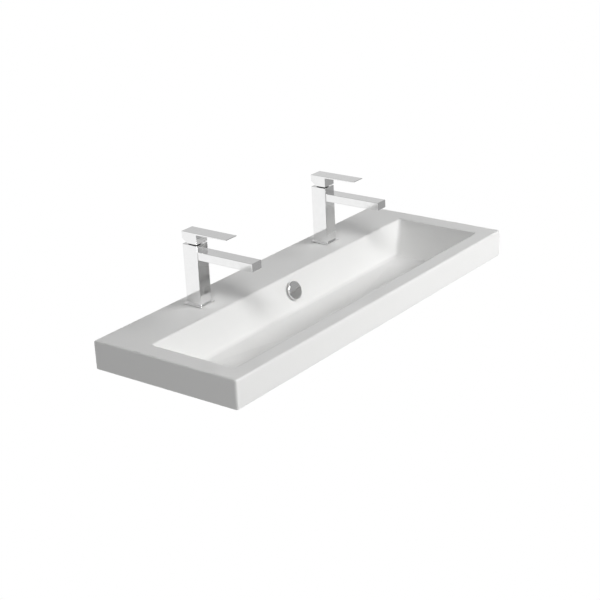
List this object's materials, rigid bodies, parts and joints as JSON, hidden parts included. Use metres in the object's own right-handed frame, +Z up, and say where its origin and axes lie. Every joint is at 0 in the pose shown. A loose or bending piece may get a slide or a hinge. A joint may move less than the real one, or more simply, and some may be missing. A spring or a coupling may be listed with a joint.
{
  "type": "bathroom sink",
  "caption": "Long rectangular white ceramic trough basin with a back tap deck, square chrome single-lever mixer taps, a round overflow cap and a push-plug waste.",
  "frame": {"origin": "midway between the two wall-fixing holes, on the wall plane", "axes": "+X along the basin, +Y into the wall, +Z up; the front faces -Y"},
  "size_m": [1.2, 0.45, 0.356],
  "materials": {
    "glazed_ceramic": "white gloss glaze",
    "chrome": "polished chrome plate",
    "brass": "turned",
    "steel": "zinc plated and stainless",
    "rubber": "moulded",
    "nylon": "moulded acetal and nylon",
    "alumina": "lapped",
    "indicator": "two-tone, red and blue"
  },
  "bodies": {
    "fixed": {"basin": "glazed_ceramic", "overflow_cap": "chrome", "overflow_sleeve": "brass", "overflow_seal": "rubber", "waste_body": "chrome", "waste_seal": "rubber", "waste_washer": "rubber", "waste_nut": "brass", "plug_sleeve": "nylon", "plug_spring": "steel", "clamp_gaskets": "rubber", "clamp_washers": "steel", "clamp_nuts": "brass", "tap_studs": "steel", "left_tap_body": "chrome", "left_base_plate": "chrome", "left_base_seal": "rubber", "left_dome_ring": "chrome", "left_cartridge_nut": "brass", "left_cartridge_housing": "nylon", "left_cartridge_base": "nylon", "left_cartridge_seal": "rubber", "left_fixed_disc": "alumina", "left_aerator_housing": "chrome", "left_aerator_insert": "nylon", "left_aerator_washer": "rubber", "right_tap_body": "chrome", "right_base_plate": "chrome", "right_base_seal": "rubber", "right_dome_ring": "chrome", "right_cartridge_nut": "brass", "right_cartridge_housing": "nylon", "right_cartridge_base": "nylon", "right_cartridge_seal": "rubber", "right_fixed_disc": "alumina", "right_aerator_housing": "chrome", "right_aerator_insert": "nylon", "right_aerator_washer": "rubber"},
    "plug": {"plug_cap": "chrome", "plug_seal": "rubber", "plug_stem": "steel"},
    "left_swivel": {"left_carrier": "nylon", "left_pivot_pin": "steel"},
    "left_handle": {"left_lever": "chrome", "left_spindle": "brass", "left_lever_screw": "steel", "left_lever_indicator": "indicator"},
    "left_disc": {"left_moving_disc": "alumina", "left_disc_driver": "nylon"},
    "right_swivel": {"right_carrier": "nylon", "right_pivot_pin": "steel"},
    "right_handle": {"right_lever": "chrome", "right_spindle": "brass", "right_lever_screw": "steel", "right_lever_indicator": "indicator"},
    "right_disc": {"right_moving_disc": "alumina", "right_disc_driver": "nylon"}
  },
  "joints": [
    {"name": "plug_lift", "type": "slide", "parent": "fixed", "child": "plug", "axis": [0, 0, 1], "range_m": [0, 0.009], "deforming": ["plug_spring"]},
    {"name": "left_lever_swivel", "type": "hinge", "parent": "fixed", "child": "left_swivel", "pos_m": [-0.275, -0.065, 0.202], "axis": [0, 0, 1], "range_deg": [-45, 45]},
    {"name": "left_lever_lift", "type": "hinge", "parent": "left_swivel", "child": "left_handle", "pos_m": [-0.275, -0.065, 0.202], "axis": [-1, 0, 0], "range_deg": [0, 20]},
    {"name": "left_disc_slide", "type": "slide", "parent": "left_swivel", "child": "left_disc", "axis": [0, -1, 0], "range_m": [0, 0.00385]},
    {"name": "right_lever_swivel", "type": "hinge", "parent": "fixed", "child": "right_swivel", "pos_m": [0.275, -0.065, 0.202], "axis": [0, 0, 1], "range_deg": [-45, 45]},
    {"name": "right_lever_lift", "type": "hinge", "parent": "right_swivel", "child": "right_handle", "pos_m": [0.275, -0.065, 0.202], "axis": [-1, 0, 0], "range_deg": [0, 20]},
    {"name": "right_disc_slide", "type": "slide", "parent": "right_swivel", "child": "right_disc", "axis": [0, -1, 0], "range_m": [0, 0.00385]}
  ],
  "couplings": [
    {"joint": "left_disc_slide", "follows": "left_lever_lift", "m_per_rad": 0.011},
    {"joint": "right_disc_slide", "follows": "right_lever_lift", "m_per_rad": 0.011}
  ]
}
